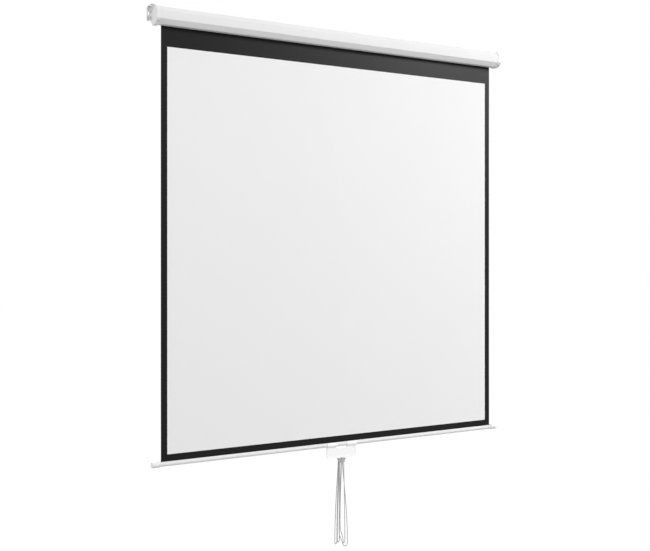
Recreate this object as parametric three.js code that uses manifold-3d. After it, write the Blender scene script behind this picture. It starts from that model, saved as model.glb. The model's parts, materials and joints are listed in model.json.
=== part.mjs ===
// Pull-down projection screen with a spring roller, in millimetres, +Z up.
// +X runs along the width, -Y faces the viewer and the wall is the plane y = 0.
// The origin lies on the wall, midway between the two wall screw slots.
import * as THREE from "three";
import { mergeVertices } from "three/addons/utils/BufferGeometryUtils.js";
import Module from "manifold-3d";

const wasm = await Module();
wasm.setup();

// Fits shared by all pieces
const clearance = 0.3;
const cutOverrun = 1;
const weldDistance = 0.0003;

// Fabric
const imageWidth = 1452;
const imageHeight = 1452;
const sideBorder = 24;
const bottomBorder = 24.3;
const topDrop = 71.75;
const backingThickness = 0.5;
const coatingThickness = 0.3;

// Case
const wallGap = 7;
const caseDrop = 13;
const caseSize = 62.5;
const caseChamferShare = 0.272;
const caseWall = 1;
const caseCorner = 3;
const caseOverhang = 28;
const slotWidth = 6;
const lipHeight = 4;

// End caps
const capWall = 1.7;
const capEnd = 2.7;
const capSleeve = 12;
const capBevel = 1.2;
const capRibThickness = 1.6;
const capRibHeight = 3;
const capRibShare = 0.352;
const hubWall = 2.7;
const hubLength = 11;
const bossRadius = 3.2;
const bossLength = 8;

// Screws
const screwRadius = 1.5;
const screwLength = 9;
const screwHeadRadius = 3.4;
const screwHeadHeight = 2.1;
const screwDomeShare = 0.55;
const screwTipShare = 0.5;
const screwCrossWidth = 0.9;
const screwCrossReach = 2;
const screwCrossDepth = 1.1;
const capScrewInset = 8.5;

// Hanger brackets
const bracketThickness = 2;
const bracketFoot = 26;
const bracketWaist = 6;
const bracketTop = 24;
const bracketPlateDepth = 24;
const bracketReach = 53;
const bracketBend = 6;
const flangeWidth = 12;
const slotHoleWidth = 6.5;
const wallSlotLength = 12.8;
const ceilingSlotLength = 20;
const ceilingSlotSetback = 28;
const slotHoleInset = 2.9;
const bracketScrewInset = 7;
const bracketScrewRise = 0.25;
const bracketScrewSpacing = 18.5;

// Roller
const rollRoomShare = 0.1112;
const rollerWall = 1.2;
const rollerOverhang = 10;
const rollThickness = 0.7;
const plugLength = 25;
const plugFlange = 3;
const idlerPinRadius = 4;
const idlerPinDepth = 18;
const bushWall = 1.7;
const bushFlange = 1.2;
const bushFlangeRim = 2;

// Spring motor
const shaftRadiusShare = 0.1875;
const tongueThickness = 2.6;
const tongueWidth = 7;
const tongueLength = 9;
const socketThickness = 7;
const socketRim = 4;
const socketFrameWall = 1.5;
const socketFrameHeight = 5;
const anchorLength = 18;
const shaftTail = 4;
const springRadiusShare = 0.5625;
const wireRadius = 1.1;
const springPitch = 5;
const springCoils = 42;

// Ratchet
const wheelRadiusShare = 0.5;
const wheelThickness = 4;
const wheelNotchDepthShare = 0.325;
const wheelNotchWidthShare = 0.575;
const pawlPivotShare = 0.775;
const pawlPinRadius = 1.5;
const pawlPinHeadRadius = 2.6;
const pawlPinHead = 1.2;
const pawlPinRoot = 2.4;
const pawlEyeWall = 1.6;
const pawlArm = 2.6;
const pawlToothWidth = 2.2;

// Bottom bar
const barRadius = 8.5;
const barWall = 1.2;
const barSlot = 3;
const barOverhang = 28;
const barCapWall = 1.7;
const barCapSleeve = 23;
const barCapEnd = 6.7;
const barCapRound = 3;
const hemRodRadius = 2.7;

// Pull handle
const handleWidth = 133;
const handleDrop = 44.7;
const handleThickness = 4;
const handleRim = 4;
const handleRimHeight = 1;
const handleCorner = 6;
const handleLeastCorner = 2;
const handleWindow = 5;
const clipWidth = 44;
const clipWall = 1.8;

// Pull cord and its knot
const cordRadius = 1.6;
const knotRidgeRadius = 2;
const knotTopWidth = 39;
const knotBottomWidth = 30;
const knotShoulder = 6;
const knotHeight = 18.7;
const knotDepth = 25.2;
const knotNotchWidth = 8;
const knotNotchDepth = 5;
const knotCeiling = 7.5;
const knotWall = 1.9;
const foldRadius = 9.6;

// Where the strands leave the knot, as [x, y] from its centre, in their order along the cord
const strandNecks = [
  [-11.1, 6.6], [-7.2, 8.6], [-7.8, 0.6], [-4.6, 4.9], [2.4, 5], [4.4, -1.4], [-2.6, -5.4], [5.9, -8.6],
];

// Where each loop hangs: its middle, how far it is turned and how low it is.
// The left strand of a loop that sways hangs elsewhere at first and crosses over lower down.
const cordLoops = [
  { x: -21.7, y: 5.8, turn: 34, drop: 337.7 },
  { x: -14.2, y: -0.9, turn: 35, drop: 329.7 },
  { x: 16.8, y: -0.6, turn: -20, drop: 349.7, sway: { x: -4.3, y: 9.5, drop: 300 } },
  { x: 8.6, y: -6, turn: 38, drop: 335.7, sway: { x: -7.4, y: -2.6, drop: 265 } },
];

// How early a strand drifts outward, as the power of its share of the way down
const strandHaste = 0.7;

// Angles in degrees
const clipArmAngle = 132;
const knotRoofAngle = 40;
const pawlToothAngle = 42;
const pawlSwing = 25;

// Facets of a full turn
const fineTurn = 32;
const coarseTurn = 20;
const smallTurn = 12;
const cornerSteps = 3;
const springSteps = 8;
const springSides = 5;
const cordSides = 6;
const strandSteps = 10;
const swaySteps = 6;
const foldSteps = 8;

// Places worked out from the sizes
const fabricHalf = imageWidth / 2 + sideBorder;
const caseHalf = fabricHalf + caseOverhang;
const capStart = caseHalf - capSleeve;
const capFloor = caseHalf + clearance;
const capFace = capFloor + capEnd;
const caseChamfer = caseChamferShare * caseSize;
const caseY = -(wallGap + caseSize / 2);
const caseZ = -caseDrop;
const caseBottom = caseZ - caseSize / 2;
const sheetY = -(wallGap + caseChamfer + slotWidth / 2);
const rollTangent = sheetY - backingThickness / 2 - clearance;
const rollRoom = rollRoomShare * caseSize;
const rollRadius = (rollTangent + wallGap + caseSize - caseWall - rollRoom) / 2;
const rollerRadius = rollRadius - clearance - rollThickness;
const rollerY = rollTangent - rollRadius;
const rollerHalf = fabricHalf + rollerOverhang;
const flangeFace = rollerHalf + plugFlange;
const pictureTop = caseBottom - topDrop;
const pictureBottom = pictureTop - imageHeight;
const barZ = pictureBottom - bottomBorder - barRadius;
const barHalf = fabricHalf + barOverhang;
const handleBottom = barZ - barRadius - handleDrop;
const cordPivotZ = handleBottom - clearance - knotRidgeRadius;

const wheelRadius = wheelRadiusShare * rollerRadius;
const wheelNotchDepth = wheelNotchDepthShare * wheelRadius;
const wheelNotchWidth = wheelNotchWidthShare * wheelRadius;
const shaftRadius = shaftRadiusShare * rollerRadius;
const pawlPivotRadius = pawlPivotShare * rollerRadius;
const springRadius = springRadiusShare * rollerRadius;

const radians = Math.PI / 180;
const offsetShare = 2 - Math.SQRT2;

// Finishes
const finishes = {
  whitePaint: { color: 0xf0f0f1, roughness: 0.32, metalness: 0 },
  whitePlastic: { color: 0xe9e9ea, roughness: 0.45, metalness: 0 },
  zinc: { color: 0xb5b7ba, roughness: 0.35, metalness: 0.9 },
  steel: { color: 0x9fa2a6, roughness: 0.3, metalness: 1 },
  springSteel: { color: 0x6f7276, roughness: 0.35, metalness: 1 },
  aluminium: { color: 0xc9cbce, roughness: 0.3, metalness: 0.95 },
  nylon: { color: 0xd9d7cf, roughness: 0.55, metalness: 0 },
  blackFabric: { color: 0x222224, roughness: 0.8, metalness: 0 },
  whiteFabric: { color: 0xe8e8ea, roughness: 0.9, metalness: 0 },
  cordYarn: { color: 0xd2d3d5, roughness: 0.85, metalness: 0 },
};

function makeMesh(name, geometry, finish) {
  const mesh = new THREE.Mesh(geometry, new THREE.MeshStandardMaterial(finishes[finish]));
  mesh.name = name;
  return mesh;
}

// Helpers for closed meshes
function mergedCopy(geometry) {
  const bare = geometry.clone();
  bare.deleteAttribute("normal");
  bare.deleteAttribute("uv");
  return mergeVertices(bare, weldDistance);
}

function signedVolume(geometry) {
  const places = geometry.getAttribute("position");
  const index = geometry.getIndex();
  const [a, b, c] = [new THREE.Vector3(), new THREE.Vector3(), new THREE.Vector3()];
  let total = 0;
  for (let i = 0; i < index.count; i += 3) {
    a.fromBufferAttribute(places, index.getX(i));
    b.fromBufferAttribute(places, index.getX(i + 1));
    c.fromBufferAttribute(places, index.getX(i + 2));
    total += a.dot(b.cross(c)) / 6;
  }
  return total;
}

function turnFaces(geometry) {
  const order = Array.from(geometry.getIndex().array);
  for (let i = 0; i < order.length; i += 3) {
    [order[i + 1], order[i + 2]] = [order[i + 2], order[i + 1]];
  }
  geometry.setIndex(order);
  return geometry;
}

function facingOut(geometry) {
  const merged = mergedCopy(geometry);
  return signedVolume(merged) < 0 ? turnFaces(merged) : merged;
}

function toSolid(geometry) {
  const closed = facingOut(geometry);
  return new wasm.Manifold(new wasm.Mesh({
    numProp: 3,
    vertProperties: Float32Array.from(closed.getAttribute("position").array),
    triVerts: Uint32Array.from(closed.getIndex().array),
  }));
}

function toGeometry(solid) {
  const mesh = solid.getMesh();
  const geometry = new THREE.BufferGeometry();
  geometry.setAttribute("position", new THREE.Float32BufferAttribute(mesh.vertProperties, 3));
  geometry.setIndex(Array.from(mesh.triVerts));
  geometry.computeVertexNormals();
  return geometry;
}

function joined(base, added) {
  return added.reduce((solid, piece) => solid.add(toSolid(piece)), base);
}

function cutBy(base, cutters) {
  return cutters.reduce((solid, piece) => solid.subtract(toSolid(piece)), base);
}

function mirroredX(geometry) {
  const other = geometry.clone().scale(-1, 1, 1);
  const flipped = turnFaces(other);
  flipped.computeVertexNormals();
  return flipped;
}

// A flat outline in (y, z) swept along X from start to end
function sweepX(outline, start, end, holes = []) {
  const shape = new THREE.Shape(outline);
  shape.holes = holes.map((hole) => new THREE.Path(hole));
  const depth = end - start;
  const geometry = new THREE.ExtrudeGeometry(shape, { depth, bevelEnabled: false, steps: 1 });
  const toPart = new THREE.Matrix4().makeBasis(
    new THREE.Vector3(0, 1, 0), new THREE.Vector3(0, 0, 1), new THREE.Vector3(1, 0, 0));
  return geometry.applyMatrix4(toPart).translate(start, 0, 0);
}

// A flat outline in (x, z) swept along Y, centred on y = 0
function sweepY(outline, depth) {
  const geometry = new THREE.ExtrudeGeometry(
    new THREE.Shape(outline), { depth, bevelEnabled: false, steps: 1 });
  return geometry.rotateX(Math.PI / 2).translate(0, depth / 2, 0);
}

// A profile of [radius, place along X] turned about the X axis
function turnX(profile, segments) {
  const points = profile.map(([radius, along]) => new THREE.Vector2(radius, along));
  return facingOut(new THREE.LatheGeometry(points, segments).rotateZ(-Math.PI / 2));
}

function ringX(outer, inner, start, end, segments) {
  return turnX([[inner, start], [outer, start], [outer, end], [inner, end], [inner, start]], segments);
}

function rodX(radius, start, end, segments) {
  return turnX([[0, start], [radius, start], [radius, end], [0, end]], segments);
}

function blockAt(size, centre) {
  return new THREE.BoxGeometry(...size).translate(...centre);
}

function arcPoints(centreY, centreZ, radius, fromAngle, toAngle, steps) {
  const points = [];
  for (let i = 0; i <= steps; i += 1) {
    const angle = fromAngle + ((toAngle - fromAngle) * i) / steps;
    points.push(new THREE.Vector2(
      centreY + radius * Math.cos(angle), centreZ + radius * Math.sin(angle)));
  }
  return points;
}

// Round the corners of a convex outline that runs anticlockwise
function roundCorners(corners, radius, steps) {
  const points = [];
  corners.forEach((corner, i) => {
    const before = corners[(i + corners.length - 1) % corners.length];
    const after = corners[(i + 1) % corners.length];
    const inward = corner.clone().sub(before).normalize();
    const outward = after.clone().sub(corner).normalize();
    const turn = Math.acos(inward.dot(outward));
    const start = corner.clone().addScaledVector(inward, -radius * Math.tan(turn / 2));
    const centre = start.clone().add(new THREE.Vector2(-inward.y, inward.x).multiplyScalar(radius));
    const first = Math.atan2(-inward.x, inward.y);
    for (let step = 0; step <= steps; step += 1) {
      const angle = first + (turn * step) / steps;
      points.push(new THREE.Vector2(
        centre.x + radius * Math.cos(angle), centre.y + radius * Math.sin(angle)));
    }
  });
  return points;
}

// The eight-sided section of the case, grown or shrunk by an offset from its outer skin
function caseOutline(offset) {
  const half = caseSize / 2 + offset;
  const flat = half - (caseChamfer + offset * offsetShare);
  const corners = [
    [half, -flat], [half, flat], [flat, half], [-flat, half],
    [-half, flat], [-half, -flat], [-flat, -half], [flat, -half],
  ].map(([y, z]) => new THREE.Vector2(y, z));
  return roundCorners(corners, caseCorner + offset, cornerSteps);
}

// Case pieces, placed about the case's centre line
const slotCentre = sheetY - caseY;
const frontFacet = new THREE.Vector3(0, -1, -1).normalize();
const rearFacet = new THREE.Vector3(0, 1, -1).normalize();
const capOffset = clearance + capWall;
const capScrewPlace = capFace - capScrewInset;

// Distance from the case's centre line to the skin of a slanted facet
function facetDistance(offset) {
  return (caseSize - caseChamfer) / Math.SQRT2 + offset;
}

function alongFacet(geometry, facet, distance) {
  const turn = new THREE.Quaternion().setFromUnitVectors(new THREE.Vector3(1, 0, 0), facet);
  return geometry.applyQuaternion(turn).translate(
    capScrewPlace, facet.y * distance, facet.z * distance);
}

function screwHole(facet) {
  const reach = facetDistance(capOffset) + cutOverrun;
  const radius = screwRadius + clearance;
  return alongFacet(rodX(radius, -screwLength - cutOverrun, 0, smallTurn), facet, reach);
}

function makeCaseShell() {
  const tube = sweepX(caseOutline(0), -caseHalf, caseHalf, [caseOutline(-caseWall)]);
  const bottom = -caseSize / 2;
  const slot = blockAt(
    [2 * (caseHalf + cutOverrun), slotWidth, 2 * (caseWall + cutOverrun)],
    [0, slotCentre, bottom]);
  const lips = [-1, 1].map((side) => blockAt(
    [2 * caseHalf, caseWall, lipHeight],
    [0, slotCentre + (side * (slotWidth + caseWall)) / 2, bottom + lipHeight / 2]));
  const holes = [frontFacet, rearFacet].flatMap((facet) => [
    screwHole(facet), mirroredX(facingOut(screwHole(facet)))]);
  const lipped = joined(cutBy(toSolid(tube), [slot]), lips);
  const section = toSolid(sweepX(caseOutline(0), -caseHalf, caseHalf));
  return toGeometry(cutBy(lipped.intersect(section), holes));
}

// A cap shell with a bevelled end, opening towards the middle of the screen
function makeCapShell() {
  const outer = caseOutline(capOffset);
  const inset = caseOutline(capOffset - capBevel);
  const rim = capFace - capBevel;
  const body = toSolid(loftX([[capStart, outer], [rim, outer], [capFace, inset]]));
  const hollow = sweepX(caseOutline(clearance), capStart - cutOverrun, capFloor);
  return cutBy(body, [hollow]);
}

// Outlines with the same number of points, joined along X
function loftX(sections) {
  const count = sections[0][1].length;
  const places = [];
  sections.forEach(([along, outline]) => {
    outline.forEach((point) => places.push(along, point.x, point.y));
  });
  const faces = [];
  for (let ring = 0; ring + 1 < sections.length; ring += 1) {
    for (let i = 0; i < count; i += 1) {
      const a = ring * count + i;
      const b = ring * count + ((i + 1) % count);
      faces.push(a, b, b + count, a, b + count, a + count);
    }
  }
  const last = (sections.length - 1) * count;
  THREE.ShapeUtils.triangulateShape(sections[0][1], []).forEach(([a, b, c]) => {
    faces.push(a, c, b, last + a, last + b, last + c);
  });
  const geometry = new THREE.BufferGeometry();
  geometry.setAttribute("position", new THREE.Float32BufferAttribute(places, 3));
  geometry.setIndex(faces);
  return geometry;
}

// Roller centre seen from the case's centre line
const rollerInCase = rollerY - caseY;
const upperScrewZ = caseSize / 2 - caseChamfer + bracketScrewRise;
const bracketScrews = [upperScrewZ, upperScrewZ - bracketScrewSpacing]
  .map((z) => [caseSize / 2 - bracketScrewInset, z]);

function capBosses() {
  return bracketScrews.map(([y, z]) => rodX(
    bossRadius, capFloor - bossLength, capFloor + capEnd / 2, smallTurn).translate(0, y, z));
}

function capScrewHoles() {
  const radius = screwRadius + clearance;
  const start = capFloor - bossLength - cutOverrun;
  const pilots = bracketScrews.map(([y, z]) => rodX(
    radius, start, capFace + cutOverrun, smallTurn).translate(0, y, z));
  return [...pilots, screwHole(frontFacet), screwHole(rearFacet)];
}

// Four ribs that stiffen the cap's end wall round its hub or socket frame
function capRibs(inner) {
  const length = capRibShare * caseSize - inner;
  const middle = inner + length / 2;
  const along = capFloor - capRibHeight / 2 + cutOverrun / 2;
  return [0, 1, 2, 3].map((quarter) => blockAt(
    [capRibHeight + cutOverrun, length, capRibThickness], [0, middle, 0])
    .rotateX((quarter * Math.PI) / 2 + Math.PI / 4).translate(along, rollerInCase, 0));
}

const bushOuter = idlerPinRadius + clearance + bushWall;
const hubBore = bushOuter + clearance;
const hubOuter = hubBore + hubWall;

function makeIdlerCap() {
  const hub = ringX(hubOuter, hubBore, capFloor - hubLength, capFloor + capEnd / 2, fineTurn)
    .translate(0, rollerInCase, 0);
  const ribs = capRibs(hubBore + hubWall / 2);
  const body = joined(makeCapShell(), [hub, ...ribs, ...capBosses()]);
  return toGeometry(cutBy(body, capScrewHoles()));
}

const socketWidth = tongueThickness + 2 * (clearance + socketRim);
const socketHeight = tongueWidth + 2 * (clearance + socketRim);

function makeRatchetCap() {
  const frameWidth = socketWidth + 2 * (clearance + socketFrameWall);
  const frameHeight = socketHeight + 2 * (clearance + socketFrameWall);
  const along = capFloor - socketFrameHeight / 2 + cutOverrun / 2;
  const frame = blockAt(
    [socketFrameHeight + cutOverrun, frameWidth, frameHeight], [along, rollerInCase, 0]);
  const seat = blockAt(
    [2 * socketFrameHeight, socketWidth + 2 * clearance, socketHeight + 2 * clearance],
    [capFloor - socketFrameHeight, rollerInCase, 0]);
  const body = joined(makeCapShell(), [...capRibs(frameWidth / 2), frame, ...capBosses()]);
  return toGeometry(cutBy(body, [seat, ...capScrewHoles()]));
}

// Pan-head screw pointing along -X with its head's seat at x = 0
function makeScrew() {
  const dome = screwHeadRadius * screwDomeShare;
  const tip = screwRadius * screwTipShare;
  const profile = [
    [0, -screwLength], [tip, -screwLength], [screwRadius, screwRadius - screwLength],
    [screwRadius, 0], [screwHeadRadius, 0], [screwHeadRadius, screwHeadHeight / 2],
    [dome, screwHeadHeight], [0, screwHeadHeight],
  ];
  const cross = [
    [screwCrossWidth, 2 * screwCrossReach], [2 * screwCrossReach, screwCrossWidth],
  ].map(([y, z]) => blockAt([2 * screwCrossDepth, y, z], [screwHeadHeight, 0, 0]));
  return toGeometry(cutBy(toSolid(turnX(profile, smallTurn)), cross));
}

function capScrew(facet) {
  return alongFacet(makeScrew(), facet, facetDistance(capOffset));
}

function bracketScrew([y, z]) {
  return makeScrew().translate(capFace + bracketThickness, y, z);
}

// A slot with round ends through a flange, long along one axis
function slotCutter(length, axis) {
  const run = length - slotHoleWidth;
  const depth = 2 * (bracketThickness + cutOverrun);
  const round = (shift) => rodX(slotHoleWidth / 2, -depth / 2, depth / 2, coarseTurn)
    .translate(0, 0, shift);
  const middle = blockAt([depth, slotHoleWidth, run], [0, 0, 0]);
  const solid = joined(toSolid(middle), [round(-run / 2), round(run / 2)]);
  const cutter = toGeometry(solid);
  return axis === "wall" ? cutter.rotateZ(Math.PI / 2) : cutter.rotateZ(Math.PI / 2).rotateX(Math.PI / 2);
}

const slotHolePlace = capFace + slotHoleInset + slotHoleWidth / 2;
const bracketPoints = (list) => list.map(([y, z]) => new THREE.Vector2(y, z));

// Folded hanger: an end plate, and a rim that turns outward against the wall and the ceiling
function makeBracket() {
  const inner = bracketThickness;
  const lip = bracketTop - inner;
  const bendInner = bracketBend + inner * Math.tan(Math.PI / 8);
  const plate = sweepX(bracketPoints([
    [0, -bracketFoot], [0, bracketTop - bracketBend], [-bracketBend, bracketTop],
    [-bracketReach, bracketTop], [-bracketReach, lip], [-bracketPlateDepth, bracketWaist],
    [-bracketPlateDepth, -bracketFoot],
  ]), capFace, capFace + bracketThickness);
  const rim = sweepX(bracketPoints([
    [0, -bracketFoot], [0, bracketTop - bracketBend], [-bracketBend, bracketTop],
    [-bracketReach, bracketTop], [-bracketReach, lip], [-bendInner, lip],
    [-inner, bracketTop - bendInner], [-inner, -bracketFoot],
  ]), capFace, capFace + flangeWidth);
  const holes = bracketScrews.map(([y, z]) => rodX(
    screwRadius + clearance, capFace - cutOverrun, capFace + bracketThickness + cutOverrun, smallTurn)
    .translate(0, y + caseY, z + caseZ));
  const wallSlot = slotCutter(wallSlotLength, "wall")
    .translate(slotHolePlace, -bracketThickness / 2, 0);
  const ceilingSlot = slotCutter(ceilingSlotLength, "ceiling")
    .translate(slotHolePlace, -ceilingSlotSetback, bracketTop - bracketThickness / 2);
  const body = joined(toSolid(plate), [rim]);
  return toGeometry(cutBy(body, [wallSlot, ceilingSlot, ...holes]));
}

// Roller pieces, placed about the roller's axis
const plugRadius = rollerRadius - rollerWall - clearance;
const plugInnerFace = rollerHalf - plugLength;
const wheelStart = flangeFace + clearance;
const wheelEnd = wheelStart + wheelThickness;
const tongueRoot = wheelEnd + clearance;
const shaftBore = shaftRadius + clearance;
const springLength = springCoils * springPitch;
const wireDiameter = 2 * wireRadius;
const anchorFace = plugInnerFace - springLength - 2 * (clearance + 2 * wireDiameter);
const anchorEnd = anchorFace - anchorLength;

function makeRollerTube() {
  return ringX(rollerRadius, rollerRadius - rollerWall, -rollerHalf, rollerHalf, fineTurn);
}

function makeFabricRoll() {
  return ringX(rollRadius, rollerRadius + clearance, -fabricHalf, fabricHalf, fineTurn);
}

function makePlug(bore, boreStart) {
  const flangeRadius = rollerRadius;
  const profile = [
    [0, plugInnerFace], [plugRadius, plugInnerFace], [plugRadius, rollerHalf],
    [flangeRadius, rollerHalf], [flangeRadius, flangeFace], [0, flangeFace],
  ];
  const hole = rodX(bore, boreStart, flangeFace + cutOverrun, coarseTurn);
  return cutBy(toSolid(turnX(profile, fineTurn)), [hole]);
}

function makeIdlerPlug() {
  return toGeometry(makePlug(idlerPinRadius + clearance, rollerHalf - idlerPinDepth));
}

function makeIdlerPin() {
  const start = rollerHalf - idlerPinDepth + clearance;
  return rodX(idlerPinRadius, start, capFloor - clearance, coarseTurn);
}

function makeIdlerBush() {
  const start = capFloor - hubLength;
  const bore = idlerPinRadius + clearance;
  const rim = bushOuter + bushFlangeRim;
  return turnX([
    [bore, start - bushFlange], [rim, start - bushFlange], [rim, start], [bushOuter, start],
    [bushOuter, capFloor - clearance], [bore, capFloor - clearance], [bore, start - bushFlange],
  ], coarseTurn);
}

// The upper pawl lies on the wheel and the lower one hangs away from it
const pawlPlaces = {
  upper: { z: pawlPivotRadius, turn: 0 },
  lower: { z: -pawlPivotRadius, turn: 180 + pawlSwing },
};

function makeRatchetPlug() {
  const sockets = Object.values(pawlPlaces).map(({ z }) => rodX(
    pawlPinRadius + clearance, flangeFace - pawlPinRoot - clearance, flangeFace + cutOverrun,
    smallTurn).translate(0, 0, z));
  const body = makePlug(shaftBore, plugInnerFace - cutOverrun);
  return toGeometry(cutBy(body, sockets));
}

function makePawlPin() {
  const head = wheelEnd + clearance;
  return turnX([
    [0, flangeFace - pawlPinRoot], [pawlPinRadius, flangeFace - pawlPinRoot],
    [pawlPinRadius, head], [pawlPinHeadRadius, head], [pawlPinHeadRadius, head + pawlPinHead],
    [0, head + pawlPinHead],
  ], smallTurn);
}

// Claw that reaches from its pivot round the wheel to its tooth, placed about the pivot
function makePawl() {
  const eye = pawlPinRadius + clearance + pawlEyeWall;
  const inner = pawlPivotRadius - pawlArm / 2;
  const outer = pawlPivotRadius + pawlArm / 2;
  const tip = pawlToothAngle * radians;
  const toothSpan = pawlToothWidth / wheelRadius;
  const tooth = wheelRadius + clearance;
  const arm = [
    ...arcPoints(0, 0, outer, tip, Math.PI / 2, cornerSteps * 2),
    ...arcPoints(0, 0, inner, Math.PI / 2, tip + toothSpan, cornerSteps * 2),
    ...arcPoints(0, 0, tooth, tip + toothSpan, tip + toothSpan / 2, 1),
  ];
  const eyeRod = rodX(eye, wheelStart, wheelEnd, coarseTurn).translate(0, 0, pawlPivotRadius);
  const bore = rodX(pawlPinRadius + clearance, wheelStart - cutOverrun, wheelEnd + cutOverrun,
    coarseTurn).translate(0, 0, pawlPivotRadius);
  const keepOut = rodX(tooth, wheelStart - cutOverrun, wheelEnd + cutOverrun, fineTurn);
  const body = joined(toSolid(sweepX(arm, wheelStart, wheelEnd)), [eyeRod]);
  return toGeometry(cutBy(body, [bore, keepOut])).translate(0, 0, -pawlPivotRadius);
}

// Wheel fixed to the shaft, with two notches that the pawls drop into
function makeRatchetWheel() {
  const blank = ringX(wheelRadius, shaftBore, wheelStart, wheelEnd, fineTurn);
  const depth = 2 * wheelNotchDepth;
  const notches = [1, -1].map((side) => blockAt(
    [2 * wheelThickness + cutOverrun, wheelNotchWidth, depth], [wheelStart, 0, 0])
    .translate(0, wheelNotchWidth / 2, wheelRadius).rotateX(side > 0 ? 0 : Math.PI));
  return toGeometry(cutBy(toSolid(blank), notches));
}

function makeSpringShaft() {
  const rod = rodX(shaftRadius, anchorEnd - shaftTail, tongueRoot + cutOverrun, coarseTurn);
  const tongue = blockAt([tongueLength, tongueThickness, tongueWidth],
    [tongueRoot + tongueLength / 2, 0, 0]);
  return toGeometry(joined(toSolid(rod), [tongue]));
}

function makeShaftSocket() {
  const block = blockAt([socketThickness, socketWidth, socketHeight],
    [capFloor - socketThickness / 2, 0, 0]);
  const slot = blockAt(
    [2 * socketThickness, tongueThickness + 2 * clearance, tongueWidth + 2 * clearance],
    [capFloor - socketThickness / 2, 0, 0]);
  return toGeometry(cutBy(toSolid(block), [slot]));
}

function makeSpringAnchor() {
  return ringX(plugRadius, shaftBore, anchorEnd, anchorFace, fineTurn);
}

// One unbroken tube of round section along a line of points
function tubeAlong(points, radius, sides) {
  const places = [];
  const heading = points[1].clone().sub(points[0]).normalize();
  const across = new THREE.Vector3(0, 1, 0);
  if (Math.abs(heading.y) > Math.abs(heading.x)) across.set(1, 0, 0);
  points.forEach((point, i) => {
    const before = points[Math.max(i - 1, 0)];
    const after = points[Math.min(i + 1, points.length - 1)];
    heading.copy(after).sub(before).normalize();
    across.addScaledVector(heading, -across.dot(heading)).normalize();
    const other = new THREE.Vector3().crossVectors(heading, across);
    for (let side = 0; side < sides; side += 1) {
      const angle = (side * 2 * Math.PI) / sides;
      const spoke = point.clone().addScaledVector(across, radius * Math.cos(angle))
        .addScaledVector(other, radius * Math.sin(angle));
      places.push(spoke.x, spoke.y, spoke.z);
    }
  });
  const geometry = new THREE.BufferGeometry();
  geometry.setAttribute("position", new THREE.Float32BufferAttribute(places, 3));
  geometry.setIndex(tubeFaces(points.length, sides));
  return facingOut(geometry);
}

function tubeFaces(rings, sides) {
  const faces = [];
  for (let ring = 0; ring + 1 < rings; ring += 1) {
    for (let side = 0; side < sides; side += 1) {
      const a = ring * sides + side;
      const b = ring * sides + ((side + 1) % sides);
      faces.push(a, b, b + sides, a, b + sides, a + sides);
    }
  }
  const last = (rings - 1) * sides;
  for (let side = 1; side + 1 < sides; side += 1) {
    faces.push(0, side + 1, side, last, last + side, last + side + 1);
  }
  return faces;
}

// Torsion spring round the shaft, with a straight leg into the plug and into the anchor
function springPath() {
  const first = anchorFace + clearance;
  const last = plugInnerFace - clearance;
  const points = [
    new THREE.Vector3(first, 0, springRadius),
    new THREE.Vector3(first + wireDiameter, 0, springRadius),
  ];
  const turns = springCoils * springSteps;
  const start = first + 2 * wireDiameter;
  const run = last - 2 * wireDiameter - start;
  for (let i = 0; i <= turns; i += 1) {
    const angle = (2 * Math.PI * i) / springSteps;
    points.push(new THREE.Vector3(
      start + (run * i) / turns, springRadius * Math.sin(angle), springRadius * Math.cos(angle)));
  }
  points.push(new THREE.Vector3(last - wireDiameter, 0, springRadius));
  points.push(new THREE.Vector3(last, 0, springRadius));
  return points;
}

function makeLiftSpring() {
  return tubeAlong(springPath(), wireRadius, springSides);
}

// Fabric with a hem closed round the rod in the bottom bar
const hemInner = hemRodRadius + clearance;
const hemOuter = hemInner + backingThickness;
const barInner = barRadius - barWall;
const hemRise = Math.sqrt(barInner ** 2 - (barSlot / 2) ** 2)
  - Math.sqrt((hemOuter + clearance) ** 2 - (barSlot / 2) ** 2);
const hemZ = barZ + hemRise;

function makeScreenFabric() {
  const half = backingThickness / 2;
  const open = Math.asin(half / hemOuter);
  const outline = [
    new THREE.Vector2(half, caseZ), new THREE.Vector2(-half, caseZ),
    ...arcPoints(0, hemZ, hemOuter, Math.PI / 2 + open, (5 * Math.PI) / 2 - open, coarseTurn),
  ];
  const hole = arcPoints(0, hemZ, hemInner, 0, 2 * Math.PI, coarseTurn).slice(1);
  return sweepX(outline, -fabricHalf, fabricHalf, [hole]);
}

function makeViewingSurface() {
  const front = -(backingThickness + coatingThickness) / 2;
  return blockAt([imageWidth, coatingThickness, imageHeight],
    [0, front, (pictureTop + pictureBottom) / 2]);
}

// Bottom bar pieces, placed about the bar's centre line
function makeBottomBar() {
  const tube = ringX(barRadius, barInner, -barHalf, barHalf, fineTurn);
  const slot = blockAt([2 * (barHalf + cutOverrun), barSlot, barRadius],
    [0, 0, barRadius]);
  return toGeometry(cutBy(toSolid(tube), [slot]));
}

function makeBarCap() {
  const bore = barRadius + clearance;
  const outer = bore + barCapWall;
  const start = barHalf + clearance - barCapSleeve;
  const floor = barHalf + clearance;
  const end = floor + barCapEnd;
  const rounding = arcPoints(outer - barCapRound, end - barCapRound, barCapRound, 0, Math.PI / 2,
    cornerSteps).map((point) => [point.x, point.y]);
  const profile = [[0, floor], [bore, floor], [bore, start], [outer, start], ...rounding, [0, end]];
  return turnX(profile, fineTurn);
}

function makeHemRod() {
  return rodX(hemRodRadius, -fabricHalf, fabricHalf, coarseTurn);
}

// Pull handle, placed about the bar's centre line
const clipInner = barRadius + clearance;
const clipOuter = clipInner + clipWall;
const plateTop = -barRadius - clearance - clipWall / 2;
const plateBottom = handleBottom - barZ;

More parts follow.
